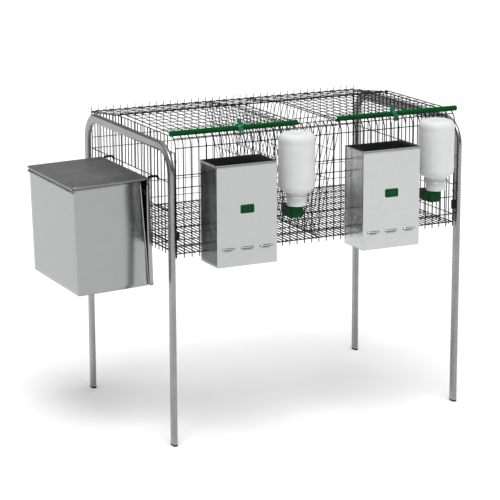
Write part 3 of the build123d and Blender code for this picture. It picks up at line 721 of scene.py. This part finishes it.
# feed hoppers
for side, cx in (("left", -305.0), ("right", 178.5)):
    body = "feeder_" + side
    x0, x1, yf, ybk, z0, z1 = cx - 97.5, cx + 97.5, -454.0, -338.0, 568.0, 871.0
    path = bent_path([(x1 - 0.5, ybk), (x1 - 0.5, yf + 0.5), (x0 + 0.5, yf + 0.5), (x0 + 0.5, ybk)], 1.6, 13.0)
    tabs = (cx - 62.0, cx, cx + 62.0)
    path = add_stops(path, 1, [t + d for t in tabs for d in (-20.5, 20.5)])
    path = list(reversed(path))
    zs = sorted([z for z in steps(z0, z1, 23) if not 615.0 < z < 628.0] + [618.6, 624.2])
    bm = bmesh.new()
    walls(bm, path, z0, z1, mm, 100 + int(cx), 0.3, zs=zs,
          cut=lambda q, z: q.y < yf + 2 and 618.6 < z < 624.2 and any(abs(q.x - t) < 20.5 for t in tabs))
    grid(bm, lambda u, v: mm(u, v, z0 + 0.5), steps(x0 + 0.9, x1 - 0.9, 12), steps(yf + 0.9, ybk - 0.2, 8))
    grid(bm, lambda u, v: mm(u, ybk - 0.5, v), steps(x0 + 0.9, x1 - 0.9, 12), [z0 + 0.4, 580.0, 590.0, 600.4])
    # the hopper sheet takes this side's tone: painted shade on the left, painted light on the right
    finish(plate("feeder_%s_shell" % side, bm, 0.001, 0.0, 0.0002), body, "galvanised_sheet", "feeder_%s_hopper" % side, mat="hopper_" + side)
    bm = bmesh.new()
    rim(bm, path, z1 - 0.6, mm, 0.95, 0.2)
    rim(bm, path, z0 + 0.6, mm, 0.7, 0.1)
    finish(new_obj("feeder_%s_edges" % side, bm), body, "galvanised_sheet", mat="hopper_" + side)
    # sloping plate inside, with three tongues bent out through the slots
    bm = bmesh.new()
    fy = yf + 1.5
    xr = sorted(set([x0 + 1.6, x1 - 1.6] + [t + d for t in tabs for d in (-20.0, 20.0)] + steps(x0 + 1.6, x1 - 1.6, 12)))
    prof_s = [(ybk - 1.8, 601.6), (ybk - 30.0, 616.2), (ybk - 60.0, 632.0), (ybk - 90.0, 647.6), (fy + 4.0, 659.2), (fy + 1.2, 660.3), (fy, 659.2), (fy, 645.0), (fy, 631.0),
              (fy, 625.6), (fy - 0.5, 624.1), (fy - 1.4, 623.6), (yf - 0.6, 623.5), (yf - 1.6, 623.2), (yf - 2.2, 622.4), (yf - 2.3, 621.2), (yf - 2.2, 620.2)]
    rows = [[bm.verts.new(mm(x, y, z)) for x in xr] for y, z in prof_s]
    for k in range(len(prof_s) - 1):
        for i in range(len(xr) - 1):
            if k >= 8 and not any(abs((xr[i] + xr[i + 1]) / 2 - t) < 20.0 for t in tabs):
                continue
            bm.faces.new((rows[k][i], rows[k][i + 1], rows[k + 1][i + 1], rows[k + 1][i]))
    bmesh.ops.delete(bm, geom=[v for v in bm.verts if not v.link_faces], context="VERTS")
    finish(plate("feeder_%s_slope_sheet" % side, bm, 0.0009, 0.0, 0.0), body, "galvanised_sheet", "feeder_%s_slope" % side, mat="hopper_" + side)
    # green plate: raised border round a plain field
    bm = bmesh.new()

    def ringpts(hw, hh, r, y):
        pts = []
        for sx, sz, a0 in ((1, 1, 0), (-1, 1, 90), (-1, -1, 180), (1, -1, 270)):
            for k in range(6):
                a = math.radians(a0 + 18 * k)
                pts.append(mm(cx + sx * (hw - r) + r * math.cos(a), y, 737.0 + sz * (hh - r) + r * math.sin(a)))
        return [bm.verts.new(p) for p in pts]
    loops = [ringpts(21.5, 12.5, 3.2, yf - 0.05), ringpts(21.5, 12.5, 3.2, yf - 2.2), ringpts(20.9, 11.9, 2.8, yf - 2.9),
             ringpts(19.9, 10.9, 2.2, yf - 3.0), ringpts(19.2, 10.2, 1.8, yf - 2.7), ringpts(18.9, 9.9, 1.6, yf - 2.3)]
    for a, b in zip(loops, loops[1:]):
        for k in range(len(a)):
            q = (k + 1) % len(a)
            bm.faces.new((a[k], a[q], b[q], b[k]))
    bm.faces.new(loops[-1])
    bm.faces.new(list(reversed(loops[0])))
    finish(new_obj("feeder_%s_badge_plate" % side, bm, True, 40), body, "dark_green_plastic", "feeder_%s_plate" % side)


# ------------------------------------------------------------------ bottles
def smooth_profile(pts, n=4):
    """Catmull-Rom through (r, z) points."""
    out = []
    for i in range(len(pts) - 1):
        p0, p1, p2, p3 = pts[max(i - 1, 0)], pts[i], pts[i + 1], pts[min(i + 2, len(pts) - 1)]
        for k in range(n):
            t = k / n
            out.append(tuple(0.5 * ((2 * p1[c]) + (-p0[c] + p2[c]) * t + (2 * p0[c] - 5 * p1[c] + 4 * p2[c] - p3[c]) * t * t
                                    + (-p0[c] + 3 * p1[c] - 3 * p2[c] + p3[c]) * t ** 3) for c in (0, 1)))
    out.append(pts[-1])
    return out


for side, bx in (("left", -107.0), ("right", 375.0)):
    by, seg = -383.0, 72
    prof_b = [(6.7, 709.0), (6.7, 696.0), (7.3, 695.1), (8.0, 695.2), (8.5, 696.0), (8.5, 711.5), (9.5, 713.4), (11.5, 714.0), (26.5, 714.0), (29.4, 714.6), (30.4, 716.6)]
    prof_b += [(30.5, 726.0), (30.1, 727.0), (30.1, 728.0), (30.5, 729.0), (30.5, 731.0)]
    prof_b += smooth_profile([(30.5, 731.0), (31.6, 741.0), (33.2, 750.5), (37.0, 757.0), (46.0, 762.0), (53.0, 768.0), (55.3, 774.5), (55.6, 781.0)], 4)
    prof_b += [(55.6, 800.0), (55.6, 826.0), (55.5, 852.0), (55.6, 880.0), (55.6, 900.0), (55.2, 902.0), (55.2, 903.5), (55.6, 905.5)]
    prof_b += [(55.6 - 20.0 + 20.0 * math.cos(math.radians(a)), 914.0 + 20.0 * math.sin(math.radians(a))) for a in (0, 12, 24, 36, 48, 60, 72, 82, 90)]
    prof_b += [(28.0, 934.0), (20.0, 933.2), (12.0, 931.6), (5.0, 930.8)]
    bm = bmesh.new()
    rings = []
    for r, z in prof_b:
        ring = []
        for k in range(seg):
            a = 2 * math.pi * k / seg
            d = 0.28 if (k % (seg // 2) == 0 and r > 29.0) else 0.0
            ring.append(bm.verts.new(mm(bx + (r + d) * math.cos(a), by + (r + d) * math.sin(a), z)))
        rings.append(ring)
    for a, b in zip(rings, rings[1:]):
        for k in range(seg):
            q = (k + 1) % seg
            bm.faces.new((a[k], a[q], b[q], b[k]))
    top = bm.verts.new(mm(bx, by, 930.6))
    for k in range(seg):
        bm.faces.new((rings[-1][k], rings[-1][(k + 1) % seg], top))
    bm.faces.new(list(reversed(rings[0])))
    finish(new_obj("bottle_%s_blown" % side, bm, True, 50), "bottle_" + side, "bottle_plastic", "bottle_" + side)

# ------------------------------------------------------------------ lid bars and latches
for side, b0, b1, lx in (("left", -488.0, -69.0, -262.5), ("right", 69.0, 487.0, 262.5)):
    # bar: moulded sleeve with rounded ends and shallow rings
    bm = bmesh.new()
    xs, rr = [], []

    def st(x, r):
        xs.append(x)
        rr.append(r)
    st(b0, 6.3)
    st(b0 + 0.6, 7.6)
    st(b0 + 1.8, 8.2)
    x = b0 + 14.0
    while x < b1 - 16.0:
        if abs(x - lx) > 14.0:
            for dx, r in ((-0.9, 8.2), (-0.4, 7.95), (0.4, 7.95), (0.9, 8.2)):
                st(x + dx, r)
        x += 13.0
    st(b1 - 1.8, 8.2)
    st(b1 - 0.6, 7.6)
    st(b1, 6.3)
    rings = []
    for x, r in zip(xs, rr):
        rings.append([bm.verts.new(mm(x, -313.0 + r * math.cos(2 * math.pi * k / 24), 950.0 + r * math.sin(2 * math.pi * k / 24))) for k in range(24)])
    for a, b in zip(rings, rings[1:]):
        for k in range(24):
            q = (k + 1) % 24
            bm.faces.new((a[k], a[q], b[q], b[k]))
    bm.faces.new(rings[0])
    bm.faces.new(list(reversed(rings[-1])))
    finish(new_obj("lid_%s_bar_sleeve" % side, bm, True, 50), "lid_" + side, "dark_green_plastic", "lid_%s_bar" % side, mat="bar_green")

def rbox(bm, lo, hi, r, seg=2, move=None):
    """Box with rounded edges, in mm; move(x, y, z) may shape it."""
    res = bmesh.ops.create_cube(bm, size=1.0)
    vs = res["verts"]
    for v in vs:
        v.co = Vector([(lo[k] + hi[k]) / 2 + v.co[k] * (hi[k] - lo[k]) for k in range(3)])
    edges = list({e for v in vs for e in v.link_edges})
    out = bmesh.ops.bevel(bm, geom=edges, offset=r, segments=seg, profile=0.5, affect="EDGES", clamp_overlap=True)
    allv = {v for f in out["faces"] for v in f.verts}
    grow = set(allv)
    for v in list(allv):
        for e in v.link_edges:
            grow.add(e.other_vert(v))
    for v in grow:
        if move:
            v.co = Vector(move(*v.co))
        v.co = mm(*v.co)


for side, lx, lean in (("left", -262.5, -0.06), ("right", 262.5, 0.20)):
    bm = bmesh.new()

    def shape(x, y, z, lx=lx, lean=lean):
        return x - lean * (z - 950.0), y, z
    # open clip round the bar
    prof_c, n = [], 22
    for k in range(n + 1):
        a = math.radians(84.0 + 192.0 * k / n)
        prof_c.append((math.cos(a), math.sin(a)))
    sec = [(-7.0, 8.35), (-7.5, 8.8), (-7.5, 9.8), (-6.8, 10.4), (6.8, 10.4), (7.5, 9.8), (7.5, 8.8), (7.0, 8.35)]
    rings = [[bm.verts.new(mm(*shape(lx + dx, -313.0 + r * c, 950.0 + r * q))) for dx, r in sec] for c, q in prof_c]
    for a, b in zip(rings, rings[1:]):
        for k in range(len(sec)):
            q = (k + 1) % len(sec)
            bm.faces.new((a[k], a[q], b[q], b[k]))
    bm.faces.new(list(reversed(rings[0])))
    bm.faces.new(rings[-1])
    # thumb tab, wider towards the top and leaning back, with grip ribs
    def tab(x, y, z):
        t = (z - 957.0) / 17.0
        return shape(lx + (x - lx) * (0.78 + 0.22 * t), y + 6.4 * t, z)
    rbox(bm, (lx - 7.5, -317.6, 958.6), (lx + 7.5, -314.6, 974.0), 1.0, 3, tab)
    for k in range(4):
        z = 962.5 + 2.9 * k
        rbox(bm, (lx - 5.4, -318.3, z), (lx + 5.4, -317.0, z + 1.2), 0.35, 2, tab)
    # bridge and two prongs that end in noses
    rbox(bm, (lx - 7.5, -330.6, 941.5), (lx + 7.5, -322.0, 951.0), 1.6, 3, shape)
    for sx in (-1, 1):
        xa, xb = sorted((lx + sx * 2.4, lx + sx * 7.4))
        rbox(bm, (xa, -330.8, 929.2), (xb, -327.9, 947.0), 0.9, 2, shape)
        rbox(bm, (min(xa, xb) + 0.4, -329.6, 929.2), (max(xa, xb) - 0.4, -317.2, 932.8), 0.9, 2, shape)
    finish(new_obj("latch_%s_moulded" % side, bm, True, 40), "latch_" + side, "light_green_plastic", "latch_" + side)

# nest hooks: flat steel bent over the wall's wire
bm = bmesh.new()
for y in (-173.7, 173.7):
    mid = [(1.1, -34.0), (1.1, -22.0), (1.1, -8.0), (1.4, -3.6), (2.8, 0.2), (5.8, 2.6), (10.0, 3.0), (20.0, 3.0), (27.0, 2.9), (30.2, 1.8), (31.8, -0.6), (32.2, -4.0), (32.3, -8.0), (32.6, -10.4)]
    half = [1.1, 1.1, 1.2, 1.6, 2.0, 2.4, 2.5, 2.5, 2.4, 2.2, 1.7, 1.4, 1.3, 0.9]
    rows = []
    for k, ((x, z), h) in enumerate(zip(mid, half)):
        a, b = mid[max(k - 1, 0)], mid[min(k + 1, len(mid) - 1)]
        d = Vector((b[0] - a[0], b[1] - a[1])).normalized()
        nx, nz = -d.y, d.x
        row = []
        for dy, dn in ((-6.0, -h + 0.4), (-5.5, -h), (5.5, -h), (6.0, -h + 0.4), (6.0, h - 0.4), (5.5, h), (-5.5, h), (-6.0, h - 0.4)):
            row.append(bm.verts.new(nb(x + nx * dn, y + dy, z + nz * dn)))
        rows.append(row)
    for a, b in zip(rows, rows[1:]):
        for k in range(8):
            q = (k + 1) % 8
            bm.faces.new((a[k], a[q], b[q], b[k]))
    bm.faces.new(list(reversed(rows[0])))
    bm.faces.new(rows[-1])
# the hooks take the near-black hook steel: painted shade
finish(new_obj("nest_box_hooks", bm, True, 40), "nest_box", "hook_steel", "nest_hooks")

# nest inner panel: plate with the way in, sides folded round the box
bm = bmesh.new()
z_lo, z_hi, ye = -NB_H, -1.5, yw - 4.0
loop_o = [(-ye, z_lo), (ye, z_lo), (ye, z_hi), (-ye, z_hi)]
pts_o = []
for k in range(4):
    a, b = loop_o[k], loop_o[(k + 1) % 4]
    m = 16
    pts_o += [(a[0] + (b[0] - a[0]) * i / m, a[1] + (b[1] - a[1]) * i / m) for i in range(m)]
pts_i = []
for sy, sz, a0 in ((1, 1, 0), (-1, 1, 90), (-1, -1, 180), (1, -1, 270)):
    for k in range(9):
        a = math.radians(a0 + 90.0 * k / 8)
        pts_i.append((12.4 + sy * 40.0 + 30.0 * math.cos(a), -97.0 + sz * 48.0 + 30.0 * math.sin(a)))
edges = []
for pts in (pts_o, pts_i):
    vs = [bm.verts.new(nb(-0.5, y, z)) for y, z in pts]
    edges += [bm.edges.new((vs[k], vs[(k + 1) % len(vs)])) for k in range(len(vs))]
bmesh.ops.triangle_fill(bm, edges=edges, use_beauty=True)
for s in (-1, 1):
    zz = steps(z_hi, z_lo, 16)
    strip = []
    for z in zz:
        t = (z - z_lo) / (z_hi - z_lo)
        wid = 11.5 + 8.0 * t - 11.0 * t * t
        open_ = 0.06
        line = []
        for q in (0.0, 0.6, 1.4, 0.3 * wid, 0.65 * wid, wid):
            dy = {0.0: -0.0, 0.6: 0.35, 1.4: 0.6}.get(q, 0.6 + open_ * (q - 1.4))
            line.append(bm.verts.new(nb(-0.5 - q, s * (ye + dy), z)))
        strip.append(line)
    for a, b in zip(strip, strip[1:]):
        for k in range(5):
            bm.faces.new((a[k], a[k + 1], b[k + 1], b[k]))
finish(plate("nest_box_inner_panel", bm, 0.001, 0.0, 0.0), "nest_box", "galvanised_sheet", "nest_inner_panel", mat="nest_sheet")

# ------------------------------------------------------------------ CAD nodes that stay
SLOT = {s["node"]: s["material_slot"] for s in frame["record"]["subparts"]}
EDGE = {"foot_plugs": 0.0006, "corner_clips": 0.0008, "latch_left": 0.0008, "latch_right": 0.0008, "nest_hooks": 0.0004,
        "nest_inner_panel": 0.0002, "drinker_left_head": 0.0007, "drinker_right_head": 0.0007, "nest_body_knuckles": 0.0002, "nest_lid_knuckles": 0.0002}
for s in ("left", "right"):
    for q, w in (("back", 0.0002), ("slope", 0.0003), ("trough", 0.0002), ("hooks", 0.0003)):
        EDGE["feeder_%s_%s" % (s, q)] = w
    EDGE["drinker_%s_pin" % s] = 0.0005
for n, ob in NODES.items():
    if ob.hide_render:
        continue
    slot = SLOT[n]
    mat = "nest_sheet" if n in ("nest_body_knuckles", "nest_hinge_rod") else "holder_wire" if n.endswith("_holder") else slot
    ob.data.materials.clear()
    ob.data.materials.append(M[mat])
    if n in EDGE:
        soften(ob, EDGE[n], 2, 40)

# ------------------------------------------------------------------ floor, light, camera
fm, nt, sh, co = tree("Pale_Floor")
fa = noise(nt, co, 0.8, 3.0)
nt.links.new(ramp(nt, fa, [(0.3, (0.90, 0.90, 0.90)), (0.7, (0.92, 0.92, 0.92))]), sh.inputs["Base Color"])
sh.inputs["Roughness"].default_value = 0.9
sh.inputs["Specular IOR Level"].default_value = 0.1
bm = bmesh.new()
grid(bm, lambda u, v: Vector((u, v, -0.0002)), steps(-60.0, 60.0, 12), steps(-60.0, 60.0, 12))
floor = new_obj("floor", bm, False)
floor.data.materials.append(fm)

w = bpy.data.worlds.new("Studio")
bpy.context.scene.world = w
w.use_nodes = True
wt = w.node_tree
wt.nodes.clear()
wo = wt.nodes.new("ShaderNodeOutputWorld")
bg = wt.nodes.new("ShaderNodeBackground")
bg.inputs["Strength"].default_value = 1.0
tc = wt.nodes.new("ShaderNodeTexCoord")
sp = wt.nodes.new("ShaderNodeSeparateXYZ")
rp = wt.nodes.new("ShaderNodeValToRGB")
stops = [(0.0, 0.50), (0.10, 0.30), (0.22, 0.17), (0.36, 0.28), (0.60, 0.90), (1.0, 1.0)]
el = rp.color_ramp.elements
while len(el) < len(stops):
    el.new(0.5)
for e, (q, v) in zip(el, stops):
    e.position = q
    e.color = (v, v, v, 1.0)
wt.links.new(tc.outputs["Generated"], sp.inputs["Vector"])
wt.links.new(sp.outputs["Z"], rp.inputs["Fac"])
wt.links.new(rp.outputs["Color"], bg.inputs["Color"])
wt.links.new(bg.outputs["Background"], wo.inputs["Surface"])


sun = bpy.data.lights.new("Overhead_Soft", "SUN")
sun.energy = 1.9
sun.angle = math.radians(34.0)
so = bpy.data.objects.new("Overhead_Soft", sun)
so.rotation_euler = (math.radians(25.0), math.radians(-9.0), 0.0)
bpy.context.scene.collection.objects.link(so)

YAW, PITCH, ROLL = math.radians(26.1072), math.radians(13.7464), math.radians(-0.1714)
d = Vector((math.sin(YAW) * math.cos(PITCH), math.cos(YAW) * math.cos(PITCH), -math.sin(PITCH)))
r = Vector((math.cos(YAW), -math.sin(YAW), 0.0))
u = r.cross(d)
r2 = r * math.cos(ROLL) + u * math.sin(ROLL)
u2 = u * math.cos(ROLL) - r * math.sin(ROLL)
pos = mm(-74.660, 0.0, 488.606) - d * 6.590955
cam = bpy.data.cameras.new("Camera")
cam.sensor_width = 36.0
cam.lens = 2073.8314 / 500.0 * 36.0
cam.clip_end = 200.0
co_ = bpy.data.objects.new("Camera", cam)
bpy.context.scene.collection.objects.link(co_)
co_.matrix_world = Matrix(((r2.x, u2.x, -d.x, pos.x), (r2.y, u2.y, -d.y, pos.y), (r2.z, u2.z, -d.z, pos.z), (0, 0, 0, 1)))
bpy.context.scene.camera = co_
bpy.context.scene.view_settings.view_transform = "Standard"
bpy.context.scene.view_settings.look = "None"

bpy.context.view_layer.update()
